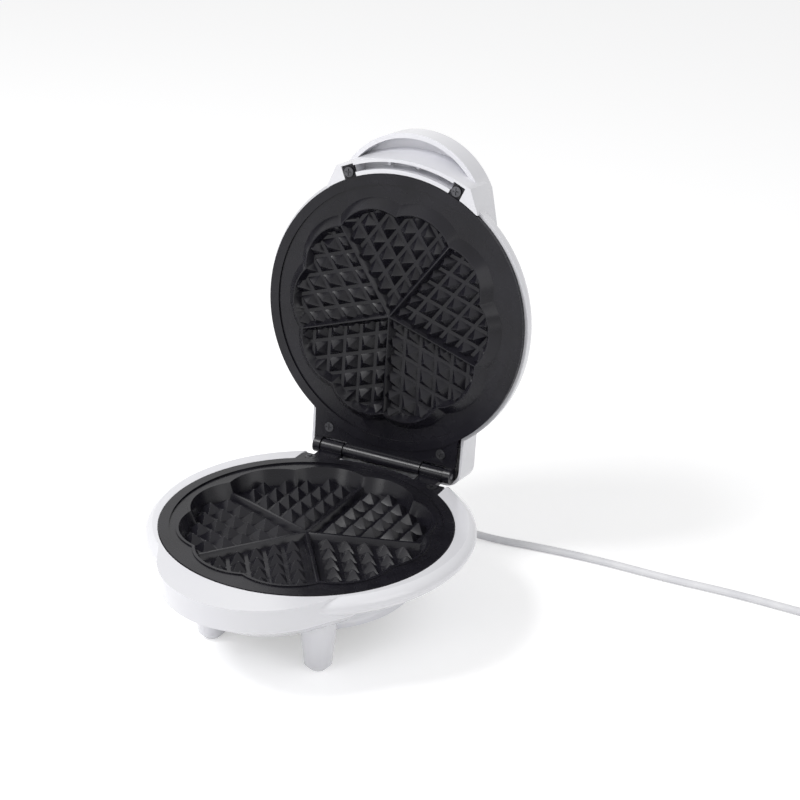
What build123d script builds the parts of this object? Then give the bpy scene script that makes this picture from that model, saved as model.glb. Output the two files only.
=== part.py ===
from build123d import *
from math import asin, atan2, cos, degrees, hypot, radians, sin, sqrt, tan
import os

# Heart waffle maker: two cast plates on one hinge, each in a white shell, the lid resting open.
# Base pieces are drawn with z = 0 where the closed plates meet, hinge to the back (+Y).
# Lid pieces are drawn closed, then turned open about the hinge.

# Plates and their rims
plate_radius = 100.0
plate_thickness = 4.0
rim_width = 7.0
rim_step = 1.2
plate_gap = 0.4
rim_height_above_table = 72.0

# Waffle pattern: five hearts between five ribs
heart_count = 5
cavity_kink_radius = 81.0
cavity_lobe_radius = 86.5
cavity_draft = 4.5
cavity_depth = 11.5
cavity_floor_thickness = 5.0
cavity_wall = 3.5
lip_width = 2.0
lip_height = 0.8
island_kink_radius = 79.0
island_lobe_radius = 84.3
island_slope = 6.5
island_height = 5.5
island_crest_width = 0.8
lower_rib_height = 4.0
lower_rib_foot = 6.0
lower_rib_crest = 1.8
upper_rib_foot = 7.0
upper_rib_crest = 0.8
tooth_cell = 13.2
tooth_base_share = 0.8
tooth_tip = 0.9
lower_tooth_height = 6.3
lower_tooth_offset = 0.93
upper_tooth_height = 5.4
upper_tooth_offset = 0.4
tooth_edge_margin = 3.0

# Hinge
hinge_back = 109.45
hinge_rise = 1.2
open_angle = 95.3
barrel_radius = 5.0
cheek_radius = 6.0
pin_radius = 2.0
pin_clearance = 0.05
flange_half_width = 57.5
centre_barrel_half = 31.0
knuckle_start = 32.0
knuckle_end = 49.3
cheek_start = 50.0
cheek_end = 55.5
knuckle_clearance = 1.0
ear_back = 95.5
upper_screw_place = (45.3, 94.5)
lower_screw_place = (49.3, 90.0)

# Screws
plate_screw_radius = 2.0
plate_screw_head = 3.6
plate_screw_head_height = 1.2
plate_screw_length = 9.0
small_screw_radius = 1.5
small_screw_head = 2.8
small_screw_head_height = 1.6
small_screw_length = 7.0
screw_clearance = 0.2

# Shells
shell_wall = 2.5
base_offset = 6.0
base_top_drop = 0.5
base_rim_radius = 107.5
base_edge_radius = 112.6
base_edge_drop = 5.5
base_flank_radius = 98.5
base_flank_drop = 20.0
base_floor_radius = 73.0
base_floor_drop = 45.0
plate_seat_clearance = 0.6
plate_opening_clearance = 3.0
lid_shell_radius = 102.3
lid_side_rise = 8.0
lid_shoulder_radius = 96.8
lid_shoulder_rise = 20.0
lid_crown_radius = 89.0
lid_crown_rise = 33.0
lid_brow_radius = 74.0
lid_brow_rise = 41.0
lid_top_rise = 43.0
lobe_reach = 127.0
lobe_shoulder = 94.5
lid_lobe_half_width = 53.0
lid_lobe_root = (62.0, 56.0)
base_lobe_half_width = 58.0
base_lobe_root = (75.0, 66.0)
base_lobe_wall_drop = 18.0
base_lobe_wall_shrink = 0.985
base_chin_drop = 33.0
base_chin_shrink = 0.8
base_chin_floor_shrink = 0.6
lid_lobe_bottom = 15.0
lid_lobe_edge = 35.0
lid_lobe_top = 40.0
lobe_top_shrink = 0.93
grip_lip = 3.6
grip_ceiling = 27.0

# Front skirt of the lid, with its slot and tab notches
skirt_bottom = 0.9
skirt_half_width = 52.0
skirt_corner = 99.0
skirt_reach = 110.5
skirt_root_half_width = 59.0
skirt_root = 82.0
skirt_top_reach = 115.0
slot_inner_radius = 103.3
slot_outer_radius = 108.3
slot_half_angle = 21.0
slot_depth = 16.0
slot_pin_radius = 1.3
slot_pin_angles = (-8.0, 4.0)
tab_angle = 23.5
tab_reach = 109.0
tab_half_width = 4.2
tab_clearance = 0.6

# Rear block of the lid and rear heel of the base
rear_wall = 2.0
rear_back = 118.5
rear_half_width = 61.0
rear_corner = 12.0
rear_front = 60.0
rear_top = 34.0
heel_half_width = 24.0
heel_front = 92.0
heel_back = 131.0
heel_bottom = 30.0
stop_gap = 0.3
hinge_trough = 10.3

# Legs
front_leg_place = (41.3, -55.9)
rear_leg_place = (46.0, 78.0)
leg_foot_radius = 9.4
leg_root_radius = 12.2
leg_root_drop = 40.0
front_leg_top_drop = 33.0
rear_leg_top_drop = 22.0
leg_edge = 4.0

# Bottom cover
cover_radius = 57.0
cover_depth = 9.0
cover_wall = 2.0
cover_edge = 3.0
cover_screw_seat = 3.0
cover_opening_radius = 44.0
cover_screw_circle = 51.5
cover_boss_radius = 4.5
cover_boss_height = 7.0

# Heating elements, the same in both halves
element_ring_radius = 55.0
element_tube_radius = 3.2
element_clearance = 0.1
element_inset = 0.8
element_gap_half_angle = 19.0
element_bend = 5.0
element_stub = 12.0
clamp_inner_radius = 40.0
clamp_outer_radius = 58.0
clamp_thickness = 1.2
clamp_post_circle = 45.5
clamp_post_radius = 4.0
clamp_post_count = 3
upper_pad_radius = 82.0
upper_pad_thickness = 3.5
reflector_radius = 68.0
reflector_wall = 0.8
reflector_depth = 11.0
reflector_hole_radius = 5.5

# Electrics
block_half_width = 9.0
block_front = 46.0
block_back = 58.0
block_height = 10.0
lead_radius = 1.3
lead_bend = 2.0
lead_pitch = 3.0
element_lead_height = 7.7
mains_lead_height = 2.9
gland_side = -26.0
gland_drop = 36.0
gland_radius = 4.5
gland_inner_end = 66.0
gland_boss_front = 75.0
gland_boss_back = 87.0
gland_boss_radius = 8.5
gland_sleeve_back = 94.0
gland_recess_radius = 6.8
gland_collar_radius = 6.2
gland_collar_thickness = 2.0
boot_length = 21.0
boot_root_radius = 5.1
boot_end_radius = 3.6
clamp_bar_place = 69.5
clamp_bar_half_length = 11.5
clamp_bar_half_width = 2.8
clamp_bar_thickness = 2.2
clamp_room_height = 8.0
body_gap = 0.3
clamp_bar_screw_side = 8.5
thermostat_radius = 8.0
thermostat_height = 5.5
thermostat_tab = 3.0
thermostat_place = -14.0
thermostat_plate_half = 16.0
thermostat_plate_thickness = 1.0
thermostat_plate_width = 12.0
thermostat_screw_length = 3.0
fuse_radius = 2.2
fuse_length = 14.0
fuse_place = 24.0
lens_radius = 3.2
lens_clearance = 0.1
lens_spacing = 18.0
lens_place = -62.0
lens_proud = 0.8
lens_flange = 4.4
lens_flange_thickness = 1.0
lamp_radius = 2.6
lamp_length = 9.0
grommet_radius = 5.5
grommet_bore = 3.6
grommet_lip = 1.4

# Mains cord and plug
cord_diameter = 5.6
coil_centre = (384.0, 206.0)
coil_inner_radius = 27.4
coil_outer_radius = 38.6
coil_height = 11.2
coil_corner = 3.0
plug_tilt = 13.0
plug_start_height = 8.6
plug_boot_length = 20.0
plug_boot_radius = 5.5
plug_neck_length = 18.0
plug_face_radius = 18.0
plug_face_length = 16.0
plug_pin_radius = 2.4
plug_pin_length = 19.0
plug_pin_spacing = 19.0
earth_strip_width = 6.0
earth_strip_thickness = 1.0

# The cord's route from the end of its boot to the coil: x, y and height above the table.
cord_route = [
    (-26, 110, 36),
    (-26, 126, 36),
    (-20, 141.5, 33.4),
    (-8, 151.8, 27.2),
    (10.5, 155.8, 17.4),
    (36, 155.2, 7.2),
    (66, 159.8, 3),
    (103, 166.2, 2.8),
    (148, 169.8, 2.8),
    (200, 169.3, 2.8),
    (252, 172.6, 2.8),
    (302, 171.4, 2.8),
    (346, 172.2, 2.8),
    (384, 173, 2.8),
]

nodes = {}


def polar(radius, angle, z=0.0):
    return Vector(radius * cos(radians(angle)), radius * sin(radians(angle)), z)


def tube(radius, bottom, top, x=0.0, y=0.0):
    """Upright round bar between two heights."""
    return Pos(x, y, (bottom + top) / 2) * Cylinder(radius, top - bottom)


def bar_x(radius, x_from, x_to, y, z):
    """Round bar along X."""
    return Pos((x_from + x_to) / 2, y, z) * Rot(0, 90, 0) * Cylinder(radius, x_to - x_from)


def bar_y(radius, y_from, y_to):
    """Round bar along Y on the cord's axis."""
    return Pos(gland_side, (y_from + y_to) / 2, -gland_drop) * Rot(90, 0, 0) * Cylinder(radius, y_to - y_from)


def slab(x_from, x_to, y_from, y_to, z_from, z_to):
    middle = Pos((x_from + x_to) / 2, (y_from + y_to) / 2, (z_from + z_to) / 2)
    return middle * Box(x_to - x_from, y_to - y_from, z_to - z_from)


def turned(points):
    """Solid of revolution about Z from (radius, z) points."""
    return revolve(Plane.XZ * make_face(Polyline(*points, close=True)), Axis.Z)


def scallops(kink, lobe, z):
    """Ten arcs that meet in kinks at the ribs and at the notches of the hearts."""
    step = 180 / heart_count
    arcs = []
    for n in range(2 * heart_count):
        start = 90 + n * step
        ends = polar(kink, start, z), polar(kink, start + step, z)
        arcs.append(ThreePointArc(ends[0], polar(lobe, start + step / 2, z), ends[1]))
    return make_face(Wire(arcs))


def scallop_reach(kink, lobe, angle):
    """Radius of the scalloped outline at one angle."""
    half = radians(90 / heart_count)
    rise = lobe - kink * cos(half)
    arc = ((kink * sin(half)) ** 2 + rise**2) / (2 * rise)
    middle = lobe - arc
    off = (radians(angle - 90) % (2 * half)) - half
    return middle * cos(off) + sqrt(arc**2 - (middle * sin(off)) ** 2)


def scalloped(kink_from, lobe_from, z_from, inset, z_to):
    """Tapered solid between two scalloped outlines."""
    ends = [scallops(kink_from, lobe_from, z_from)]
    ends.append(scallops(kink_from - inset, lobe_from - inset, z_to))
    return loft(ends, ruled=True)


def rib(angle, length, foot, crest, z_foot, z_crest):
    """Straight ridge from the middle of the plate outwards."""
    out = Vector(cos(radians(angle)), sin(radians(angle)), 0)
    across = Plane(origin=(0, 0, 0), x_dir=(-out.Y, out.X, 0), z_dir=out)
    edge = [(-foot / 2, z_foot), (foot / 2, z_foot), (crest / 2, z_crest), (-crest / 2, z_crest)]
    return extrude(across * make_face(Polyline(*edge, close=True)), amount=length)


def rib_star(length, foot, crest, z_foot, z_crest):
    turns = [90 + n * 360 / heart_count for n in range(heart_count)]
    return [rib(turn, length, foot, crest, z_foot, z_crest) for turn in turns]


def tooth(axis, z_base, z_tip):
    """Pyramid whose rhombic base runs along the two ribs of its heart."""
    half = 180 / heart_count
    along, across = polar(1, axis - half), polar(1, axis + half)

    def base(side, z):
        corners = []
        for a, b in ((-1, -1), (1, -1), (1, 1), (-1, 1)):
            corner = along * (a * side / 2) + across * (b * side / 2)
            corners.append((corner.X, corner.Y, z))
        return make_face(Polyline(*corners, close=True))

    return loft([base(tooth_cell * tooth_base_share, z_base), base(tooth_tip, z_tip)], ruled=True)


def teeth(offset, kink, lobe, z_base, z_tip):
    """Every tooth whose tip stands inside the scalloped outline."""
    half = 180 / heart_count
    made = []
    for n in range(heart_count):
        axis = -90 + n * 2 * half
        one = tooth(axis, z_base, z_tip)
        along, across = polar(tooth_cell, axis - half), polar(tooth_cell, axis + half)
        row = int(lobe / tooth_cell) + 1
        for i in range(row):
            for j in range(row):
                tip = along * (i + offset) + across * (j + offset)
                reach = scallop_reach(kink, lobe, degrees(atan2(tip.Y, tip.X)))
                if hypot(tip.X, tip.Y) < reach - tooth_edge_margin:
                    made.append(Pos(tip.X, tip.Y, 0) * one)
    return made


def screw(radius, head, head_height, length):
    """Pan head screw standing on z = 0, with a cross recess."""
    body = tube(head, 0, head_height) + tube(radius, -length, 0)
    body = fillet(body.edges().group_by(Axis.Z)[-1], head_height * 0.45)
    slot = Pos(0, 0, head_height) * Box(head * 1.1, head * 0.28, head_height)
    return body - slot - Rot(0, 0, 90) * slot


def plate_screw():
    return screw(plate_screw_radius, plate_screw_head, plate_screw_head_height, plate_screw_length)


def small_screw():
    return screw(small_screw_radius, small_screw_head, small_screw_head_height, small_screw_length)


def element_middle(face, side):
    return face + side * element_inset


def element_ends():
    """Where the two terminal stubs stand, each a bend's length past the end of the ring."""
    ends = []
    for side in (1, -1):
        turn = 90 - side * element_gap_half_angle
        ends.append(polar(element_ring_radius, turn) + polar(element_bend, turn + side * 90))
    return ends


def element_path(z, side):
    """Open ring whose ends turn away from the plate into two straight stubs."""
    start = 90 + element_gap_half_angle
    ring = CenterArc((0, 0, z), element_ring_radius, start, 360 - 2 * element_gap_half_angle)
    away = Vector(0, 0, side)
    edges = [ring]
    for end, along in ((ring @ 0, -(ring % 0)), (ring @ 1, ring % 1)):
        middle = end + along * element_bend * sin(radians(45)) + away * element_bend * (1 - cos(radians(45)))
        far = end + along * element_bend + away * element_bend
        edges.append(ThreePointArc(end, middle, far))
        edges.append(Line(far, far + away * (element_stub - element_bend)))
    return Wire(edges)


def element_rod(face, side, radius):
    path = element_path(element_middle(face, side), side)
    return sweep(Plane(origin=path @ 0, z_dir=path % 0) * Circle(radius), path=path)


def heating_element(face, side):
    """Sheathed ring heater with two terminal stubs that leave the plate."""
    return element_rod(face, side, element_tube_radius)


def element_groove(face, side):
    return element_rod(face, side, element_tube_radius + element_clearance)


def clamp_face(face, side):
    return element_middle(face, side) + side * element_tube_radius


def post_places():
    turns = [30 + n * 360 / clamp_post_count for n in range(clamp_post_count)]
    return [polar(clamp_post_circle, turn) for turn in turns]


def clamp_posts(face, side):
    far = clamp_face(face, side)
    low, high = min(face, far), max(face, far)
    return [tube(clamp_post_radius, low, high, p.X, p.Y) for p in post_places()]


def clamp_post_holes(face, side):
    far = clamp_face(face, side)
    deep = far - side * (small_screw_length - clamp_thickness)
    low, high = min(deep, far), max(deep, far)
    return [tube(small_screw_radius, low, high, p.X, p.Y) for p in post_places()]


def element_clamp(face, side):
    """Flat steel ring that presses the element into its groove."""
    low = clamp_face(face, side)
    far = low + side * clamp_thickness
    low, high = min(low, far), max(low, far)
    ring = tube(clamp_outer_radius, low, high) - tube(clamp_inner_radius, low, high)
    for p in post_places():
        ring -= tube(small_screw_radius + screw_clearance, low, high, p.X, p.Y)
    for end in element_ends():
        ring -= tube(element_tube_radius + screw_clearance * 2, low, high, end.X, end.Y)
    return ring


def clamp_screws(face, side):
    top = clamp_face(face, side) + side * clamp_thickness
    flip = Rot(180, 0, 0) if side < 0 else Rot(0, 0, 0)
    return [Pos(p.X, p.Y, top) * flip * small_screw() for p in post_places()]


def reflector(face, side):
    """Thin pressed tray that stands on the plate and keeps the heat off the shell."""
    far = face + side * reflector_depth
    low, high = min(face, far), max(face, far)
    inner_far = far - side * reflector_wall
    tray = tube(reflector_radius, low, high)
    tray -= tube(reflector_radius - reflector_wall, min(face, inner_far), max(face, inner_far))
    for end in element_ends():
        tray -= tube(reflector_hole_radius, low, high, end.X, end.Y)
    return tray


lower_face = -cavity_depth - cavity_floor_thickness
upper_back = plate_gap + plate_thickness
upper_face = upper_back + upper_pad_thickness
bowl_radius = cavity_lobe_radius + cavity_wall
table = -rim_height_above_table
shell_top = -plate_thickness


def ear_outline(back, spread=0.0):
    """Flat shape from the round plate back to the hinge."""
    root = sqrt(plate_radius**2 - flange_half_width**2)
    half = flange_half_width + spread
    return make_face(Polyline((-half, 0), (half, 0), (half, root), (half - 1, back),
                              (1 - half, back), (-half, root), close=True))


def lower_plate():
    body = tube(plate_radius, -plate_thickness, 0)
    body += extrude(Pos(0, 0, -plate_thickness) * ear_outline(ear_back), amount=plate_thickness - rim_step / 2)
    body -= tube(plate_radius - rim_width, -rim_step, 0)
    body = chamfer(body.edges().filter_by(GeomType.CIRCLE).group_by(Axis.Z)[0], 0.6)
    body += tube(bowl_radius, lower_face, -plate_thickness)
    lip = scallops(cavity_kink_radius + lip_width, cavity_lobe_radius + lip_width, -rim_step)
    body += extrude(lip, amount=lip_height)
    lip_top = lip_height - rim_step
    body -= scalloped(cavity_kink_radius, cavity_lobe_radius, lip_top, cavity_draft, -cavity_depth)
    floor_reach = scallop_reach(cavity_kink_radius, cavity_lobe_radius, 90)
    ribs = rib_star(floor_reach - cavity_draft / 2, lower_rib_foot, lower_rib_crest, -cavity_depth,
                    lower_rib_height - cavity_depth)
    floor_kink = cavity_kink_radius - cavity_draft
    floor_lobe = cavity_lobe_radius - cavity_draft
    rows = teeth(lower_tooth_offset, floor_kink, floor_lobe, -cavity_depth,
                 lower_tooth_height - cavity_depth)
    body = body.fuse(*ribs, *rows)
    arm_front = ear_back - 1
    for side in (-1, 1):
        near, far = sorted((side * knuckle_start, side * knuckle_end))
        body += bar_x(barrel_radius, near, far, hinge_back, hinge_rise)
        body += slab(near, far, arm_front, hinge_back, -barrel_radius + hinge_rise, -rim_step / 2)
    body -= bar_x(pin_radius + pin_clearance, -knuckle_end, knuckle_end, hinge_back, hinge_rise)
    for x, y in mirrored(lower_screw_place):
        body -= tube(plate_screw_radius + screw_clearance, -plate_thickness, 0, x, y)
        body -= tube(plate_screw_head + screw_clearance, -rim_step, 0, x, y)
    body = body.fuse(*clamp_posts(lower_face, -1))
    return body - element_groove(lower_face, -1) - clamp_post_holes(lower_face, -1)


def mirrored(place):
    return [place, (-place[0], place[1])]


def tab_outline(half_width, reach, turn):
    inner = plate_radius - rim_width
    shape = Pos((inner + reach) / 2, 0, 0) * Rectangle(reach - inner, 2 * half_width)
    return Rot(0, 0, turn) * shape


def tab_turns():
    return (-90 - tab_angle, -90 + tab_angle)


def upper_plate():
    low = plate_gap
    body = tube(plate_radius, low, upper_back)
    flange = extrude(Pos(0, 0, low + rim_step / 2) * ear_outline(hinge_back), amount=plate_thickness - rim_step / 2)
    back = hinge_back - barrel_radius - knuckle_clearance - 0.5
    for side in (-1, 1):
        near, far = sorted((side * (knuckle_start - knuckle_clearance), side * cheek_start))
        flange -= slab(near, far, back, hinge_back + 1, low - 1, upper_back + 1)
        edge = sorted((side * cheek_end, side * (flange_half_width + 1)))
        flange -= slab(*edge, back, hinge_back + 1, low - 1, upper_back + 1)
    body += flange
    body += bar_x(barrel_radius, -centre_barrel_half, centre_barrel_half, hinge_back, hinge_rise)
    for side in (-1, 1):
        near, far = sorted((side * cheek_start, side * cheek_end))
        body += bar_x(cheek_radius, near, far, hinge_back, hinge_rise)
    body -= bar_x(pin_radius + pin_clearance, -cheek_end, cheek_end, hinge_back, hinge_rise)
    body -= tube(plate_radius - rim_width, low, low + rim_step)
    for turn in tab_turns():
        body += extrude(Pos(0, 0, low + rim_step) * tab_outline(tab_half_width, tab_reach, turn),
                        amount=plate_thickness - rim_step)
    floor = low + rim_step
    body = body.fuse(*island(floor))
    body += tube(upper_pad_radius, upper_back, upper_face)
    for x, y in mirrored(upper_screw_place) + tab_screw_places():
        body -= tube(plate_screw_radius + screw_clearance, low, upper_back, x, y)
        body -= tube(plate_screw_head + screw_clearance, low, low + rim_step, x, y)
    for x in thermostat_screw_places():
        body -= tube(small_screw_radius, upper_face - thermostat_screw_length, upper_face, x, thermostat_place)
    body = body.fuse(*clamp_posts(upper_face, 1))
    return body - element_groove(upper_face, 1) - clamp_post_holes(upper_face, 1)


def tab_screw_places():
    middle = (plate_radius + tab_reach) / 2
    return [tuple(polar(middle, turn))[:2] for turn in tab_turns()]


def island(floor):
    """Raised border, ribs and teeth of the upper plate, as one solid each."""
    tip = plate_gap - island_height
    whole = scalloped(island_kink_radius, island_lobe_radius, floor, island_slope, tip)
    crest_kink = island_kink_radius - island_slope - island_crest_width
    crest_lobe = island_lobe_radius - island_slope - island_crest_width
    pocket = scalloped(crest_kink - island_slope / 2, crest_lobe - island_slope / 2, floor - rim_step,
                       -island_slope / 2, tip)
    border = whole - pocket
    valley = floor - rim_step
    crest = tip + (island_height - upper_tooth_height)
    rows = teeth(upper_tooth_offset, island_kink_radius, island_lobe_radius, valley, crest)
    ribs = rib_star(crest_kink, upper_rib_foot, upper_rib_crest, valley, tip)
    cut = [piece & whole for piece in rows + ribs]
    plinth = scalloped(island_kink_radius, island_lobe_radius, floor,
                       island_slope * rim_step / (island_height + rim_step), valley)
    return [border, plinth] + [piece for piece in cut if piece.volume > 1]


def hinge_pin():
    return bar_x(pin_radius, -cheek_end, cheek_end, hinge_back, hinge_rise)


def lobe_outline(inset, shrink, z, half_width=lid_lobe_half_width, root_place=lid_lobe_root):
    """Front lobe of a shell in plan: a round nose on two sides that widen into the body."""
    reach = lobe_reach * shrink - inset
    half = half_width * shrink - inset
    shoulder = lobe_shoulder * shrink
    root_half = root_place[0] * shrink - inset
    root = root_place[1] * shrink
    nose = ThreePointArc((-half, -shoulder, z), (0, -reach, z), (half, -shoulder, z))
    left = Polyline((root_half, -root, z), (0, 0, z), (-root_half, -root, z))
    sides = [Line(nose @ 1, left @ 0), Line(left @ 1, nose @ 0)]
    return make_face(Wire([nose, sides[0], *left.edges(), sides[1]]))


def base_body(inset):
    """Outer form of the base, or its hollow when inset by the wall."""
    floor = -base_floor_drop + inset
    top = -base_top_drop - inset
    edge = base_edge_radius - inset
    flank = Spline((base_floor_radius - inset, floor), (base_flank_radius - inset, -base_flank_drop),
                   (edge, -base_edge_drop), (base_rim_radius - inset, top))
    outline = flank + Polyline((base_rim_radius - inset, top), (0, top), (0, floor),
                               (base_floor_radius - inset, floor))
    body = Pos(0, base_offset, 0) * revolve(Plane.XZ * make_face(outline), Axis.Z)
    wall = -base_lobe_wall_drop + inset / 2
    levels = [(1, top), (base_lobe_wall_shrink, wall)]
    levels += [(base_chin_shrink, -base_chin_drop + inset / 2), (base_chin_floor_shrink, floor)]
    rings = [lobe_outline(inset, shrink, z, base_lobe_half_width, base_lobe_root) for shrink, z in levels]
    return body + loft(rings, ruled=True)


def leg_places():
    return mirrored(front_leg_place) + mirrored(rear_leg_place)


def leg(x, y):
    top = -front_leg_top_drop if y < 0 else -rear_leg_top_drop
    profile = [(0, table), (leg_foot_radius - leg_edge, table), (leg_foot_radius, table + leg_edge)]
    profile += [(leg_root_radius, -leg_root_drop), (leg_root_radius, top), (0, top)]
    return Pos(x, y, 0) * turned(profile)


def open_place():
    return Pos(0, hinge_back, hinge_rise) * Rot(-open_angle, 0, 0) * Pos(0, -hinge_back, -hinge_rise)


def cover_screw_places():
    return [polar(cover_screw_circle, 45 + n * 90) for n in range(4)]


def heel(inset):
    """Block behind the round base that stops the lid and lets the wires out."""
    half = heel_half_width - inset
    return slab(-half, half, heel_front - 8, heel_back - inset, -heel_bottom + inset, shell_top - inset)


def base_shell():
    floor = -base_floor_drop
    body = base_body(0) + heel(0)
    stop_room = slab(-rear_half_width, rear_half_width, 0, rear_back + stop_gap, upper_back - 1, 90)
    body -= open_place() * stop_room
    ledge_under = shell_top - shell_wall
    hollow = base_body(shell_wall) - slab(-plate_radius * 2, plate_radius * 2, -plate_radius * 2, plate_radius * 2,
                                          ledge_under, 0)
    heel_hollow = heel(shell_wall)
    heel_hollow -= open_place() * slab(-rear_half_width, rear_half_width, 0,
                                       rear_back + stop_gap + shell_wall, upper_back - 9, 90)
    body -= hollow
    body -= heel_hollow
    for x, y in leg_places():
        body += leg(x, y)
    body -= clamp_room()
    body -= tube(plate_radius + plate_seat_clearance, shell_top, 0)
    body -= tube(bowl_radius + plate_opening_clearance, ledge_under, shell_top)
    body -= tube(cover_opening_radius, floor, floor + shell_wall)
    trough_half = rear_half_width + 1
    body -= bar_x(hinge_trough, -trough_half, trough_half, hinge_back, hinge_rise)
    body -= extrude(Pos(0, 0, shell_top) * ear_outline(ear_back + 30, plate_seat_clearance), amount=plate_thickness)
    for x in clamp_bar_screw_places():
        post = tube(clamp_bar_half_width, floor, gland_radius - gland_drop, x, clamp_bar_place)
        body += post & base_body(0)
        body -= tube(small_screw_radius, -gland_drop, gland_radius - gland_drop, x, clamp_bar_place)
    for p in cover_screw_places():
        body += tube(cover_boss_radius, floor + shell_wall, floor + cover_boss_height, p.X, p.Y)
        body -= tube(small_screw_radius, floor, floor + cover_boss_height - 1, p.X, p.Y)
    for x, y in mirrored(lower_screw_place):
        body += tube(plate_screw_head + 2, shell_top - plate_screw_length - 2, shell_top, x, y)
        body -= tube(plate_screw_radius, shell_top - plate_screw_length, shell_top, x, y)
    body += bar_y(gland_boss_radius, gland_boss_front, gland_sleeve_back)
    body -= bar_y(gland_recess_radius, gland_boss_back, gland_sleeve_back)
    body -= bar_y(gland_radius, gland_inner_end - 1, gland_boss_back)
    return body - heel_face() * tube(grommet_radius, -2 * shell_wall, shell_wall)


def heel_face():
    """Place on the sloping top of the heel where the wires come out."""
    flat = Pos(0, rear_back + stop_gap, upper_back + grommet_radius + 4) * Rot(-90, 0, 0)
    return open_place() * flat * Rot(180, 0, 0)


def bottom_cover():
    top = -base_floor_drop
    low = top - cover_depth
    body = tube(cover_radius, low, top)
    body = fillet(body.edges().group_by(Axis.Z)[0], cover_edge)
    body -= tube(cover_radius - cover_wall, low + cover_wall, top)
    for p in cover_screw_places():
        body += tube(cover_boss_radius, low + cover_wall, top, p.X, p.Y)
        body -= tube(small_screw_radius + screw_clearance, low, top, p.X, p.Y)
        body -= tube(small_screw_head + screw_clearance, low, top - cover_screw_seat, p.X, p.Y)
    return body


def bottom_cover_screws():
    under = -base_floor_drop - cover_screw_seat
    return [Pos(p.X, p.Y, under) * Rot(180, 0, 0) * small_screw() for p in cover_screw_places()]


def lower_plate_screws():
    return [Pos(x, y, -rim_step) * plate_screw() for x, y in mirrored(lower_screw_place)]


def upper_plate_screws():
    places = mirrored(upper_screw_place) + tab_screw_places()
    seat = plate_gap + rim_step
    return [Pos(x, y, seat) * Rot(180, 0, 0) * plate_screw() for x, y in places]


def lid_dome(inset):
    """Round part of the lid, or its hollow when inset by the wall."""
    low = upper_back - (1 if inset else 0)
    top = lid_top_rise - inset
    side = lid_shell_radius - inset
    crown = Spline((side, lid_side_rise), (lid_shoulder_radius - inset, lid_shoulder_rise),
                   (lid_crown_radius - inset, lid_crown_rise - inset / 2), (lid_brow_radius - inset, lid_brow_rise - inset),
                   (0, top), tangents=((0, 1), (-1, 0)))
    outline = crown + Polyline((0, top), (0, low), (side, low), (side, lid_side_rise))
    return revolve(Plane.XZ * make_face(outline), Axis.Z)


def skirt_outline(inset, reach, z):
    half = skirt_half_width - inset
    front = ThreePointArc((-half, -skirt_corner, z), (0, -reach + inset, z), (half, -skirt_corner, z))
    root_half = skirt_root_half_width - inset
    back = Polyline((half, -skirt_corner, z), (root_half, -skirt_root, z),
                    (-root_half, -skirt_root, z), (-half, -skirt_corner, z))
    return make_face(Wire([front, *back.edges()]))


def lid_lobe(inset):
    """Handle: the round nose of the lid above the grip."""
    low = lid_lobe_bottom if not inset else grip_ceiling + inset
    body = extrude(lobe_outline(inset, 1, low), amount=lid_lobe_edge - low)
    top = lid_lobe_top - inset
    crown = [lobe_outline(inset, 1, lid_lobe_edge), lobe_outline(inset, lobe_top_shrink, top)]
    return body + loft(crown, ruled=True)


def grip_recess():
    return extrude(lobe_outline(grip_lip, 1, lid_lobe_bottom), amount=grip_ceiling - lid_lobe_bottom)


def rear_block(inset):
    half = rear_half_width - inset
    low = upper_back - (1 if inset else 0)
    body = slab(-half, half, rear_front, rear_back - inset, low, rear_top - inset)
    uprights = body.edges().filter_by(Axis.Z).group_by(Axis.Y)[-1]
    body = fillet(uprights, rear_corner - inset)
    return chamfer(body.edges().group_by(Axis.Z)[-1].group_by(Axis.Y)[-1], 8)


def ring_sector(inner, outer, half_angle, low, high):
    """Part of a ring about the plate's middle, centred on the front."""
    arc_out = ThreePointArc(polar(outer, -90 - half_angle, low), polar(outer, -90, low),
                            polar(outer, -90 + half_angle, low))
    arc_in = ThreePointArc(polar(inner, -90 + half_angle, low), polar(inner, -90, low),
                           polar(inner, -90 - half_angle, low))
    edges = [arc_out, Line(arc_out @ 1, arc_in @ 0), arc_in, Line(arc_in @ 1, arc_out @ 0)]
    return extrude(make_face(Wire(edges)), amount=high - low)


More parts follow.
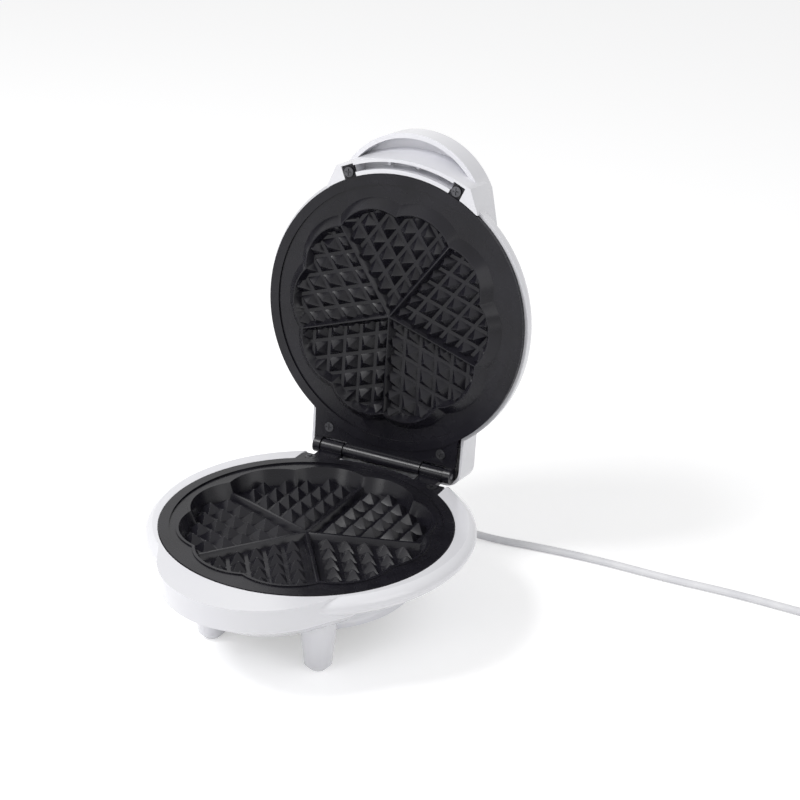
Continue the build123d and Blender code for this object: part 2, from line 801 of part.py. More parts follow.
def lid_shell():
    skirt = loft([skirt_outline(0, skirt_reach, skirt_bottom),
                  skirt_outline(0, skirt_top_reach, grip_ceiling)], ruled=True)
    body = lid_dome(0) + lid_lobe(0) - grip_recess()
    body += skirt
    body += rear_block(0)
    body -= lid_dome(shell_wall)
    body -= rear_block(rear_wall)
    body -= lid_lobe(shell_wall) - tube(lid_shell_radius, 0, upper_back)
    body -= tube(plate_radius + 0.3, 0, upper_back)
    slot_top = skirt_bottom + slot_depth
    body -= ring_sector(slot_inner_radius, slot_outer_radius, slot_half_angle, 0, slot_top)
    for turn in slot_pin_angles:
        p = polar((slot_inner_radius + slot_outer_radius) / 2, -90 + turn)
        body += tube(slot_pin_radius, slot_top - 8, slot_top, p.X, p.Y)
    for turn in tab_turns():
        notch = Pos(0, 0, 0) * tab_outline(tab_half_width + tab_clearance, tab_reach + tab_clearance, turn)
        body -= extrude(notch, amount=upper_back)
    for x, y in tab_screw_places():
        body += tube(plate_screw_head, upper_back, upper_back + plate_screw_length, x, y)
    for x, y in mirrored(upper_screw_place):
        body += tube(plate_screw_head + 1, upper_back, rear_top - rear_wall, x, y)
    for x, y in mirrored(upper_screw_place) + tab_screw_places():
        body -= tube(plate_screw_radius, upper_back, upper_back + plate_screw_length, x, y)
    for x in (-lens_spacing / 2, lens_spacing / 2):
        body -= tube(lens_radius + lens_clearance, lid_crown_rise - 8, lid_top_rise + 5, x, lens_place)
    hole = Pos(0, rear_back, upper_back + grommet_radius + 4) * Rot(90, 0, 0) * Cylinder(grommet_radius, 12)
    return body - hole


def lens_top():
    """Height of the crown where the lamps stand."""
    share = (lid_crown_radius - abs(lens_place)) / (lid_crown_radius * 0.5)
    return lid_crown_rise + (lid_top_rise - lid_crown_rise) * share


def lens(x):
    top = lens_top()
    inside = top - shell_wall - 1.2
    body = tube(lens_radius, inside, top + lens_proud, x, lens_place)
    body = fillet(body.edges().group_by(Axis.Z)[-1], 0.8)
    return body + tube(lens_flange, inside - lens_flange_thickness, inside, x, lens_place)


def lamp_bulbs():
    top = lens_top() - shell_wall - 1.2 - lens_flange_thickness
    places = (-lens_spacing / 2, lens_spacing / 2)
    return [tube(lamp_radius, top - lamp_length, top, x, lens_place) for x in places]


def lead(points, radius=lead_radius, bend=lead_bend):
    """Insulated wire along a few points."""
    path = FilletPolyline(*points, radius=bend) if len(points) > 2 else Line(*points)
    return sweep(Plane(origin=path @ 0, z_dir=path % 0) * Circle(radius), path=path)


def block_floor():
    return shell_wall - base_floor_drop


def terminal_block():
    low = block_floor()
    high = low + block_height
    body = slab(-block_half_width, block_half_width, block_front, block_back, low, high)
    for n in (-1, 0, 1):
        body -= tube(2, high - 3, high, n * 6, (block_front + block_back) / 2)
    return body


def base_leads():
    """Element leads into the sides of the block, mains leads from the gland into its left side."""
    high = block_floor() + element_lead_height
    low = block_floor() + mains_lead_height
    stub_end = element_middle(lower_face, -1) - element_stub
    wires = []
    for end in element_ends():
        side = block_half_width if end.X > 0 else -block_half_width
        wires.append(lead([(end.X, end.Y, stub_end), (end.X, end.Y, high), (side, end.Y, high)]))
    middle = (block_front + block_back) / 2
    for n in (-1, 0, 1):
        x = gland_side + n * 0.9 * lead_pitch
        y = middle + (n - 0.5) * lead_pitch
        points = [(x, gland_inner_end, -gland_drop), (x, gland_inner_end - 2.5, -gland_drop)]
        points += [(x, gland_inner_end - 8, low), (x, y, low), (-block_half_width, y, low)]
        wires.append(lead(points))
    return wires


def strain_relief():
    """Moulded gland through the rear wall with a tapered boot outside."""
    back = gland_boss_back
    outside = back + gland_collar_thickness
    points = [(0, gland_inner_end), (gland_radius, gland_inner_end), (gland_radius, back)]
    points += [(gland_collar_radius, back), (gland_collar_radius, outside)]
    points += [(boot_root_radius, outside), (boot_end_radius, boot_end()), (0, boot_end())]
    return Pos(gland_side, 0, -gland_drop) * Rot(-90, 0, 0) * turned(points)


def boot_end():
    return gland_boss_back + gland_collar_thickness + boot_length


def clamp_bar_screw_places():
    return (gland_side - clamp_bar_screw_side, gland_side + clamp_bar_screw_side)


def clamp_room():
    """Space that the clamp bar and its screws take above their posts."""
    low = gland_radius - gland_drop
    half = clamp_bar_half_length + body_gap
    width = clamp_bar_half_width + body_gap
    return slab(gland_side - half, gland_side + half, clamp_bar_place - width, clamp_bar_place + width,
                low, low + clamp_room_height)


def cord_clamp():
    """Bar across the gland's inner end, on two posts of the shell."""
    low = gland_radius - gland_drop
    high = low + clamp_bar_thickness
    half = clamp_bar_half_length
    front, back = clamp_bar_place - clamp_bar_half_width, clamp_bar_place + clamp_bar_half_width
    body = slab(gland_side - half, gland_side + half, front, back, low, high)
    for x in clamp_bar_screw_places():
        body -= tube(small_screw_radius, low, high, x, clamp_bar_place)
    return body


def cord_clamp_screws():
    top = gland_radius - gland_drop + clamp_bar_thickness
    one = screw(small_screw_radius, 2.4, 1.2, 5)
    return [Pos(x, clamp_bar_place, top) * one for x in clamp_bar_screw_places()]


def grommet(wall):
    """Rubber bush in a wall whose outer face is at z = 0, with a lip inside."""
    body = tube(grommet_radius, -wall, 0)
    body += tube(grommet_radius + grommet_lip, -wall - grommet_lip, -wall)
    return body - tube(grommet_bore, -wall - grommet_lip, 0)


def base_grommet():
    return heel_face() * grommet(shell_wall)


def lid_grommet():
    z = upper_back + grommet_radius + 4
    return Pos(0, rear_back, z) * Rot(-90, 0, 0) * grommet(rear_wall)


def thermostat():
    low = upper_face
    seat = low + thermostat_plate_thickness
    top = seat + thermostat_height
    body = tube(thermostat_radius, seat, top, 0, thermostat_place)
    for x in (-4, 4):
        body += slab(x - 2.4, x + 2.4, thermostat_place - 0.4, thermostat_place + 0.4, top, top + thermostat_tab)
    return body


def thermostat_bracket():
    low = upper_face
    half = thermostat_plate_half
    wide = thermostat_plate_width / 2
    plate = slab(-half, half, thermostat_place - wide, thermostat_place + wide, low,
                 low + thermostat_plate_thickness)
    for x in thermostat_screw_places():
        plate -= tube(small_screw_radius + screw_clearance, low, low + thermostat_plate_thickness, x,
                      thermostat_place)
    return plate


def thermostat_screw_places():
    side = thermostat_plate_half - small_screw_head - 0.7
    return (-side, side)


def thermostat_screws():
    top = upper_face + thermostat_plate_thickness
    length = thermostat_screw_length
    one = screw(small_screw_radius, small_screw_head, small_screw_head_height, length)
    return [Pos(x, thermostat_place, top) * one for x in thermostat_screw_places()]


def thermal_fuse():
    z = upper_face + fuse_radius
    return bar_x(fuse_radius, -fuse_length / 2, fuse_length / 2, fuse_place, z)


def lid_leads():
    """Wires from the lid's grommet to the two element stubs, over the tray."""
    z_end = element_middle(upper_face, 1) + element_stub
    z_high = z_end + lead_radius + 1
    z_hole = upper_back + grommet_radius + 4
    wires = []
    for end in element_ends():
        x = end.X
        away = 2 if x > 0 else -2
        points = [(away, rear_back - 3, z_hole), (away, rear_back - 12, z_hole),
                  (x, rear_back - 24, z_high), (x, end.Y, z_high)]
        wires.append(lead(points, radius=lead_radius))
        wires[-1] += tube(lead_radius, z_end, z_high, x, end.Y)
    return wires


def cord_points():
    return [Vector(x, y, height + table) for x, y, height in cord_route]


def cord_radii(points):
    """Arc radius at each corner: nine twentieths of the shorter run over the half turn's tangent."""
    radii = []
    for before, here, after in zip(points, points[1:], points[2:]):
        turn = (here - before).get_angle(after - here)
        shorter = min((here - before).length, (after - here).length)
        radii.append(0.45 * shorter / tan(radians(turn / 2)))
    return radii


def power_cord():
    points = cord_points()
    radii = cord_radii(points)
    print("cord radii", [round(r, 1) for r in radii])
    path = FilletPolyline(*points, radius=radii)
    section = Circle(cord_diameter / 2)
    body = sweep(Plane(origin=path @ 0, z_dir=path % 0) * section, path=path)
    print("cord length", round(path.length, 1), "volume share",
          round(body.volume / (path.length * section.area), 4))
    return body


def cord_coil():
    x, y = coil_centre
    ring = tube(coil_outer_radius, 0, coil_height) - tube(coil_inner_radius, 0, coil_height)
    ring = fillet(ring.edges(), coil_corner)
    return Pos(x, y, table) * ring


def plug_place():
    """The plug leaves the far side of the coil, nose up on the edge of its face."""
    x, y = coil_centre
    away = (coil_inner_radius + coil_outer_radius) / 2
    start = (x - 10, y + away, table + plug_start_height)
    lift = radians(plug_tilt)
    return Plane(origin=start, x_dir=(0, 1, 0), z_dir=(-cos(lift), 0, sin(lift))).location


def plug_front():
    return plug_boot_length + plug_neck_length + plug_face_length


def plug_body():
    neck = plug_boot_length + plug_neck_length
    points = [(0, 0), (cord_diameter / 2 + 0.3, 0), (plug_boot_radius, plug_boot_length)]
    points += [(10.5, plug_boot_length + 3), (15, neck - 1), (plug_face_radius, neck + 2)]
    points += [(plug_face_radius, plug_front() - 1), (plug_face_radius - 1, plug_front()), (0, plug_front())]
    body = turned(points)
    for n in (-1, 1):
        body -= tube(plug_pin_radius, plug_front() - 6, plug_front(), n * plug_pin_spacing / 2, 0)
        body -= earth_strip(n, 0)
    return plug_place() * body


def earth_strip(side, inset):
    y_from, y_to = sorted((side * (plug_face_radius + 1), side * (plug_face_radius - 2 - inset)))
    half = earth_strip_width / 2
    return slab(-half, half, y_from, y_to, plug_front() - 11, plug_front())


def plug_pins():
    front = plug_front()
    pins = []
    for n in (-1, 1):
        pin = tube(plug_pin_radius, front - 6, front + plug_pin_length, n * plug_pin_spacing / 2, 0)
        pins.append(plug_place() * fillet(pin.edges().group_by(Axis.Z)[-1], plug_pin_radius * 0.8))
    return pins


def earth_strips():
    front = plug_front()
    half = earth_strip_width / 2
    strips = []
    for n in (-1, 1):
        deep = n * (plug_face_radius - 2)
        y_from, y_to = sorted((deep, deep + n * earth_strip_thickness))
        strips.append(plug_place() * slab(-half, half, y_from, y_to, front - 11, front))
    return strips


def add(body, name, shapes):
    """Keep a node with its body; several solids make one group."""
    group = list(shapes) if isinstance(shapes, (list, tuple)) else [shapes]
    nodes[name] = (body, [solid for shape in group for solid in shape.solids()])


cord_nodes = ["power_cord", "cord_coil", "plug_body", "plug_pins", "earth_strips"]

add("base", "base_shell", base_shell())
add("base", "bottom_cover", bottom_cover())
add("base", "bottom_cover_screws", bottom_cover_screws())
add("base", "lower_plate", lower_plate())
add("base", "lower_plate_screws", lower_plate_screws())
add("base", "lower_element", heating_element(lower_face, -1))
add("base", "lower_element_clamp", element_clamp(lower_face, -1))
add("base", "lower_clamp_screws", clamp_screws(lower_face, -1))
add("base", "lower_reflector", reflector(lower_face, -1))
add("base", "hinge_pin", hinge_pin())
add("base", "terminal_block", terminal_block())
add("base", "base_leads", base_leads())
add("base", "cord_clamp", cord_clamp())
add("base", "cord_clamp_screws", cord_clamp_screws())
add("base", "strain_relief", strain_relief())
add("base", "base_grommet", base_grommet())
add("base", "power_cord", power_cord())
add("base", "cord_coil", cord_coil())
add("base", "plug_body", plug_body())
add("base", "plug_pins", plug_pins())
add("base", "earth_strips", earth_strips())
add("lid", "lid_shell", lid_shell())
add("lid", "upper_plate", upper_plate())
add("lid", "upper_plate_screws", upper_plate_screws())
add("lid", "upper_element", heating_element(upper_face, 1))
add("lid", "upper_element_clamp", element_clamp(upper_face, 1))
add("lid", "upper_clamp_screws", clamp_screws(upper_face, 1))
add("lid", "upper_reflector", reflector(upper_face, 1))
add("lid", "thermostat", thermostat())
add("lid", "thermostat_bracket", thermostat_bracket())
add("lid", "thermostat_screws", thermostat_screws())
add("lid", "thermal_fuse", thermal_fuse())
add("lid", "power_lens", lens(-lens_spacing / 2))
add("lid", "ready_lens", lens(lens_spacing / 2))
add("lid", "lamp_bulbs", lamp_bulbs())
add("lid", "lid_leads", lid_leads())
add("lid", "lid_grommet", lid_grommet())

opened = {}
for name, (body, solids) in nodes.items():
    place = open_place() if body == "lid" else Pos(0, 0, 0)
    opened[name] = Compound(children=[place * solid for solid in solids])

own = [opened[name].bounding_box() for name in opened if name not in cord_nodes]
middle_x = (min(box.min.X for box in own) + max(box.max.X for box in own)) / 2
middle_y = (min(box.min.Y for box in own) + max(box.max.Y for box in own)) / 2
onto_table = Pos(-middle_x, -middle_y, -table)

os.makedirs("parts", exist_ok=True)
for name, shape in opened.items():
    export_step(onto_table * shape, f"parts/{name}.step")
print("moved by", round(-middle_x, 3), round(-middle_y, 3), round(-table, 3))
print("hinge at y", round(hinge_back - middle_y, 3), "z", round(hinge_rise - table, 3))
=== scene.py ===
# Heart waffle maker with its lid open: looks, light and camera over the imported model.
import bpy
import bmesh
from math import cos, pi, radians, sin
from mathutils import Matrix, Vector


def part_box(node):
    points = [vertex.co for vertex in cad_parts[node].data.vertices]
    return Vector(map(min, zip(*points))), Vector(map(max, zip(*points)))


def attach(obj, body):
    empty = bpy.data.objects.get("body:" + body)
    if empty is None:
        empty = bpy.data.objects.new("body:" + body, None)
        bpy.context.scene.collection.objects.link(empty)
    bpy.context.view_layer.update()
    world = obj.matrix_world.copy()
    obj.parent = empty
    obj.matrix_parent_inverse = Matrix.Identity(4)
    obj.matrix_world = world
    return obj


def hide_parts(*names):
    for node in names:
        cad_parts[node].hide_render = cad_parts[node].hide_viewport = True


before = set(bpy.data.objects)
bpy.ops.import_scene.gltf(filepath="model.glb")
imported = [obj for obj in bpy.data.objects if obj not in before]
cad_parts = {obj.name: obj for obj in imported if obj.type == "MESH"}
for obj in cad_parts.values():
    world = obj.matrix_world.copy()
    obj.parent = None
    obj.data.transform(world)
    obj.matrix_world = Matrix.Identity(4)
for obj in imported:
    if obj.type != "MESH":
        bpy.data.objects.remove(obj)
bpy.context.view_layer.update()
scene = bpy.context.scene

plateRadius = 0.1
rimHeight = 0.072                                      # top of the lower plate above the table
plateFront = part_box("lower_plate")[0].y
plateMiddle = Vector((0, plateFront + plateRadius, rimHeight))
print("frame loaded, plate middle", [round(v, 4) for v in plateMiddle])


# Materials: each finish is one dictionary; colours are linear, patch and grain are noise scales

surface = {
    "cloudDetail": 3,
    "fineDetail": 2,
    "tintFrom": 0.35,          # share of the noise where the shade gives way to the colour
    "tintTo": 0.65,
    "glossFrom": 0.3,
    "glossTo": 0.7,
    "glossPatches": 3,         # gloss patches to one colour patch
    "coatRoughness": 0.12,
    "shine": 0.5,
}
finishes = {
    "shellWhite": {"colour": (0.83, 0.83, 0.86), "shade": (0.79, 0.79, 0.83), "patch": 9, "roughness": (0.16, 0.24),
                   "grain": 900, "relief": 0.000004, "coat": 0.35},
    "coverGrey": {"colour": (0.05, 0.054, 0.054), "shade": (0.035, 0.038, 0.038), "patch": 40,
                  "roughness": (0.55, 0.7), "grain": 1800, "relief": 0.00003},
    "nonStick": {"colour": (0.0105, 0.0098, 0.0145), "shade": (0.0055, 0.0051, 0.008), "patch": 28,
                 "roughness": (0.22, 0.3), "grain": 1500, "relief": 0.000015, "shine": 0.3},
    "darkSteel": {"colour": (0.12, 0.12, 0.13), "shade": (0.07, 0.07, 0.075), "patch": 120, "metal": 1,
                  "roughness": (0.3, 0.5), "grain": 900, "relief": 0.00001},
    "groundSteel": {"colour": (0.48, 0.48, 0.5), "shade": (0.36, 0.36, 0.38), "patch": 90, "metal": 1,
                    "roughness": (0.25, 0.4), "grain": 1200, "relief": 0.00001},
    "stainedSteel": {"colour": (0.2, 0.19, 0.18), "shade": (0.1, 0.08, 0.07), "patch": 45, "metal": 1,
                     "roughness": (0.45, 0.65), "grain": 700, "relief": 0.00002},
    "zincSheet": {"colour": (0.52, 0.52, 0.51), "shade": (0.4, 0.41, 0.42), "patch": 60, "metal": 1,
                  "roughness": (0.3, 0.48), "grain": 500, "relief": 0.00001},
    "brightSheet": {"colour": (0.75, 0.75, 0.76), "shade": (0.65, 0.65, 0.67), "patch": 30, "metal": 1,
                    "roughness": (0.18, 0.32), "grain": 400, "relief": 0.00001},
    "heatPlastic": {"colour": (0.55, 0.5, 0.42), "shade": (0.47, 0.42, 0.34), "patch": 60,
                    "roughness": (0.5, 0.65), "grain": 900, "relief": 0.00002},
    "wireSleeve": {"colour": (0.75, 0.72, 0.68), "shade": (0.66, 0.63, 0.58), "patch": 80,
                   "roughness": (0.4, 0.55), "grain": 900, "relief": 0.00001},
    "blackRubber": {"colour": (0.045, 0.045, 0.045), "shade": (0.03, 0.03, 0.03), "patch": 90,
                    "roughness": (0.6, 0.75), "grain": 1200, "relief": 0.00002},
    "cordWhite": {"colour": (0.8, 0.8, 0.82), "shade": (0.73, 0.73, 0.76), "patch": 70,
                  "roughness": (0.38, 0.5), "grain": 1400, "relief": 0.00001},
    "plugWhite": {"colour": (0.8, 0.8, 0.82), "shade": (0.75, 0.75, 0.78), "patch": 60,
                  "roughness": (0.4, 0.52), "grain": 1600, "relief": 0.00002},
    "nickel": {"colour": (0.72, 0.71, 0.7), "shade": (0.6, 0.59, 0.58), "patch": 110, "metal": 1,
               "roughness": (0.12, 0.25), "grain": 800, "relief": 0.000004},
    "redLens": {"colour": (0.75, 0.04, 0.03), "shade": (0.6, 0.025, 0.02), "patch": 180,
                "roughness": (0.08, 0.14), "grain": 700, "relief": 0.00001, "clear": 0.2},
    "greenLens": {"colour": (0.07, 0.6, 0.14), "shade": (0.05, 0.48, 0.1), "patch": 180,
                  "roughness": (0.08, 0.14), "grain": 700, "relief": 0.00001, "clear": 0.2},
    "lampGlass": {"colour": (0.9, 0.86, 0.8), "shade": (0.8, 0.7, 0.6), "patch": 250,
                  "roughness": (0.03, 0.08), "grain": 500, "relief": 0.000004, "clear": 0.9},
}


def noise(nodes, links, place, scale, detail):
    texture = nodes.new("ShaderNodeTexNoise")
    texture.inputs["Scale"].default_value = scale
    texture.inputs["Detail"].default_value = detail
    links.new(place, texture.inputs["Vector"])
    return texture.outputs["Fac"]


def makeFinish(name):
    look = finishes[name]
    material = bpy.data.materials.new(name)
    material.use_nodes = True
    nodes, links = material.node_tree.nodes, material.node_tree.links
    skin = nodes["Principled BSDF"]
    place = nodes.new("ShaderNodeTexCoord").outputs["Object"]
    cloud = noise(nodes, links, place, look["patch"], surface["cloudDetail"])
    tint = nodes.new("ShaderNodeValToRGB")
    for stop, where, colour in zip(tint.color_ramp.elements, ("tintFrom", "tintTo"), ("shade", "colour")):
        stop.position = surface[where]
        stop.color = (*look[colour], 1)
    links.new(cloud, tint.inputs["Fac"])
    links.new(tint.outputs["Color"], skin.inputs["Base Color"])
    gloss = nodes.new("ShaderNodeMapRange")
    gloss.inputs["From Min"].default_value = surface["glossFrom"]
    gloss.inputs["From Max"].default_value = surface["glossTo"]
    gloss.inputs["To Min"].default_value, gloss.inputs["To Max"].default_value = look["roughness"]
    patches = noise(nodes, links, place, look["patch"] * surface["glossPatches"], surface["fineDetail"])
    links.new(patches, gloss.inputs["Value"])
    links.new(gloss.outputs["Result"], skin.inputs["Roughness"])
    relief = nodes.new("ShaderNodeBump")
    relief.inputs["Distance"].default_value = look["relief"]
    links.new(noise(nodes, links, place, look["grain"], surface["fineDetail"]), relief.inputs["Height"])
    links.new(relief.outputs["Normal"], skin.inputs["Normal"])
    skin.inputs["Metallic"].default_value = look.get("metal", 0)
    skin.inputs["Coat Weight"].default_value = look.get("coat", 0)
    skin.inputs["Coat Roughness"].default_value = surface["coatRoughness"]
    skin.inputs["Specular IOR Level"].default_value = look.get("shine", surface["shine"])
    skin.inputs["Transmission Weight"].default_value = look.get("clear", 0)
    return material


finish = {name: makeFinish(name) for name in finishes}

nodeFinish = {
    "shellWhite": ["base_shell", "lid_shell", "strain_relief"],
    "coverGrey": ["bottom_cover"],
    "nonStick": ["lower_plate", "upper_plate"],
    "darkSteel": ["bottom_cover_screws", "lower_plate_screws", "upper_plate_screws", "cord_clamp_screws",
                  "lower_clamp_screws", "upper_clamp_screws", "thermostat_screws"],
    "groundSteel": ["hinge_pin"],
    "stainedSteel": ["lower_element", "upper_element"],
    "zincSheet": ["lower_element_clamp", "upper_element_clamp", "cord_clamp", "thermostat_bracket"],
    "brightSheet": ["lower_reflector", "upper_reflector", "thermal_fuse"],
    "heatPlastic": ["terminal_block", "thermostat"],
    "wireSleeve": ["base_leads", "lid_leads"],
    "blackRubber": ["base_grommet", "lid_grommet"],
    "cordWhite": ["power_cord", "cord_coil"],
    "plugWhite": ["plug_body"],
    "nickel": ["plug_pins", "earth_strips"],
    "redLens": ["power_lens"],
    "greenLens": ["ready_lens"],
    "lampGlass": ["lamp_bulbs"],
}


def nodeObject(node):
    return bpy.data.objects[node]


for finishName, nodeNames in nodeFinish.items():
    for node in nodeNames:
        for spot in nodeObject(node).material_slots:
            spot.material = finish[finishName]
print("materials ready", len(finish))


# Smooth, softly edged copies of the pieces that show

polish = {
    "weld": 0.00001,
    "flat": 1,                 # degrees between faces that count as one
    "sharp": 28,               # degrees between faces that keep an edge
    "bevelSteps": 2,
}
smoothPieces = {
    "baseShell": {"node": "base_shell", "body": "base", "finish": "shellWhite", "edge": 0.0006},
    "lidShell": {"node": "lid_shell", "body": "lid", "finish": "shellWhite", "edge": 0.0005},
    "lowerPlate": {"node": "lower_plate", "body": "base", "finish": "nonStick", "edge": 0.0006},
    "upperPlate": {"node": "upper_plate", "body": "lid", "finish": "nonStick", "edge": 0.0006},
    "bottomCover": {"node": "bottom_cover", "body": "base", "finish": "coverGrey", "edge": 0},
    "cordSleeve": {"node": "strain_relief", "body": "base", "finish": "cordWhite", "edge": 0},
}


def weldedShape(mesh):
    shape = bmesh.new()
    shape.from_mesh(mesh)
    bmesh.ops.remove_doubles(shape, verts=shape.verts, dist=polish["weld"])
    return shape


def shadeByAngle(mesh):
    mesh.polygons.foreach_set("use_smooth", [True] * len(mesh.polygons))
    mesh.set_sharp_from_angle(angle=radians(polish["sharp"]))


def softenEdges(piece, width):
    bevel = piece.modifiers.new("softEdges", "BEVEL")
    bevel.width = width
    bevel.segments = polish["bevelSteps"]
    bevel.limit_method = "ANGLE"
    return bevel


def smoothCopy(name, plan):
    source = nodeObject(plan["node"])
    mesh = source.data.copy()
    mesh.name = name
    shape = weldedShape(mesh)
    bmesh.ops.dissolve_degenerate(shape, edges=shape.edges, dist=polish["weld"])
    bmesh.ops.dissolve_limit(shape, angle_limit=radians(polish["flat"]), verts=shape.verts, edges=shape.edges)
    shape.to_mesh(mesh)
    shape.free()
    shadeByAngle(mesh)
    mesh.materials.clear()
    mesh.materials.append(finish[plan["finish"]])
    piece = bpy.data.objects.new(name, mesh)
    piece.matrix_world = source.matrix_world
    scene.collection.objects.link(piece)
    if plan["edge"]:
        bevel = softenEdges(piece, plan["edge"])
        bevel.angle_limit = radians(polish["sharp"])
        bevel.harden_normals = True
    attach(piece, plan["body"])
    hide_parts(plan["node"])


for name, plan in smoothPieces.items():
    smoothCopy(name, plan)
print("smooth copies ready", len(smoothPieces))


# Screws: one tree makes a head with a cross and a shank, and sets it on each place

openAngle = radians(95.3)
lidFacing = Vector((0, -sin(openAngle), -cos(openAngle)))
plateScrew = {"Head Radius": 0.0036, "Head Height": 0.0012, "Shank Radius": 0.002, "Shank Length": 0.009,
              "Slot Width": 0.001}
smallScrew = {"Head Radius": 0.0028, "Head Height": 0.0016, "Shank Radius": 0.0015, "Shank Length": 0.007,
              "Slot Width": 0.0008}
screwSets = {
    "coverScrews": {"node": "bottom_cover_screws", "body": "base", "axis": Vector((0, 0, -1)), "sizes": smallScrew},
    "lowerPlateScrews": {"node": "lower_plate_screws", "body": "base", "axis": Vector((0, 0, 1)),
                         "sizes": plateScrew},
    "upperPlateScrews": {"node": "upper_plate_screws", "body": "lid", "axis": lidFacing, "sizes": plateScrew},
}
screwSides = 32
screwEdge = 0.00025
crossLength = 1.4              # length of the cross in head radii


def makeScrewTree():
    tree = bpy.data.node_groups.new("crossScrews", "GeometryNodeTree")
    sockets = tree.interface
    sockets.new_socket("Geometry", in_out="INPUT", socket_type="NodeSocketGeometry")
    for name in plateScrew:
        sockets.new_socket(name, in_out="INPUT", socket_type="NodeSocketFloat")
    sockets.new_socket("Axis", in_out="INPUT", socket_type="NodeSocketVector")
    sockets.new_socket("Steel", in_out="INPUT", socket_type="NodeSocketMaterial")
    sockets.new_socket("Geometry", in_out="OUTPUT", socket_type="NodeSocketGeometry")
    nodes, links = tree.nodes, tree.links
    given = nodes.new("NodeGroupInput").outputs

    def times(value, factor):
        product = nodes.new("ShaderNodeMath")
        product.operation = "MULTIPLY"
        product.inputs[1].default_value = factor
        links.new(value, product.inputs[0])
        return product.outputs[0]

    def vector(**parts):
        joined = nodes.new("ShaderNodeCombineXYZ")
        for name, value in parts.items():
            links.new(value, joined.inputs[name])
        return joined.outputs[0]

    def moved(mesh, offset):
        move = nodes.new("GeometryNodeTransform")
        links.new(mesh, move.inputs["Geometry"])
        links.new(offset, move.inputs["Translation"])
        return move.outputs[0]

    def rod(radius, length, rise):
        cylinder = nodes.new("GeometryNodeMeshCylinder")
        cylinder.inputs["Vertices"].default_value = screwSides
        links.new(given[radius], cylinder.inputs["Radius"])
        links.new(given[length], cylinder.inputs["Depth"])
        return moved(cylinder.outputs["Mesh"], vector(Z=times(given[length], rise)))

    def bar(lengthAxis, widthAxis):
        cube = nodes.new("GeometryNodeMeshCube")
        size = vector(**{lengthAxis: times(given["Head Radius"], crossLength), widthAxis: given["Slot Width"],
                         "Z": given["Head Height"]})
        links.new(size, cube.inputs["Size"])
        return moved(cube.outputs["Mesh"], vector(Z=given["Head Height"]))

    cut = nodes.new("GeometryNodeMeshBoolean")
    cut.operation = "DIFFERENCE"
    links.new(rod("Head Radius", "Head Height", 0.5), cut.inputs["Mesh 1"])
    links.new(bar("X", "Y"), cut.inputs["Mesh 2"])
    links.new(bar("Y", "X"), cut.inputs["Mesh 2"])
    both = nodes.new("GeometryNodeJoinGeometry")
    links.new(cut.outputs["Mesh"], both.inputs[0])
    links.new(rod("Shank Radius", "Shank Length", -0.5), both.inputs[0])
    aim = nodes.new("FunctionNodeAlignRotationToVector")
    aim.axis = "Z"
    links.new(given["Axis"], aim.inputs["Vector"])
    spread = nodes.new("GeometryNodeInstanceOnPoints")
    links.new(given["Geometry"], spread.inputs["Points"])
    links.new(both.outputs[0], spread.inputs["Instance"])
    links.new(aim.outputs[0], spread.inputs["Rotation"])
    real = nodes.new("GeometryNodeRealizeInstances")
    links.new(spread.outputs[0], real.inputs[0])
    paint = nodes.new("GeometryNodeSetMaterial")
    links.new(real.outputs[0], paint.inputs["Geometry"])
    links.new(given["Steel"], paint.inputs["Material"])
    result = nodes.new("NodeGroupOutput")
    links.new(paint.outputs[0], result.inputs[0])
    return tree


def headPlaces(node, axis, headHeight):
    shape = weldedShape(nodeObject(node).data)
    left = set(shape.verts)
    places = []
    while left:                # each joined group of points is one screw
        group, front = set(), [left.pop()]
        while front:
            corner = front.pop()
            group.add(corner)
            near = {link.other_vert(corner) for link in corner.link_edges} & left
            left -= near
            front += near
        flat = [corner.co - axis * corner.co.dot(axis) for corner in group]
        middle = Vector([(min(v[k] for v in flat) + max(v[k] for v in flat)) / 2 for k in range(3)])
        top = max(corner.co.dot(axis) for corner in group)
        places.append(middle + axis * (top - headHeight))
    shape.free()
    return sorted(places, key=tuple)


def makeScrews(tree, name, plan):
    points = bpy.data.meshes.new(name + "Places")
    points.from_pydata(headPlaces(plan["node"], plan["axis"], plan["sizes"]["Head Height"]), [], [])
    holder = bpy.data.objects.new(name + "Places", points)
    scene.collection.objects.link(holder)
    modifier = holder.modifiers.new("screws", "NODES")
    modifier.node_group = tree
    values = dict(plan["sizes"], Axis=plan["axis"], Steel=finish["darkSteel"])
    for socket in tree.interface.items_tree:
        if socket.in_out == "INPUT" and socket.name in values:
            modifier[socket.identifier] = values[socket.name]
    ready = holder.evaluated_get(bpy.context.evaluated_depsgraph_get())
    mesh = bpy.data.meshes.new_from_object(ready)
    bpy.data.objects.remove(holder)
    mesh.name = name
    shadeByAngle(mesh)
    piece = bpy.data.objects.new(name, mesh)
    scene.collection.objects.link(piece)
    softenEdges(piece, screwEdge)
    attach(piece, plan["body"])
    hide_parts(plan["node"])
    print(name, len(points.vertices), "screws,", len(mesh.polygons), "faces")


screwTree = makeScrewTree()
for name, plan in screwSets.items():
    makeScrews(screwTree, name, plan)


# Cord: out of the back, down to the table and away to its coil

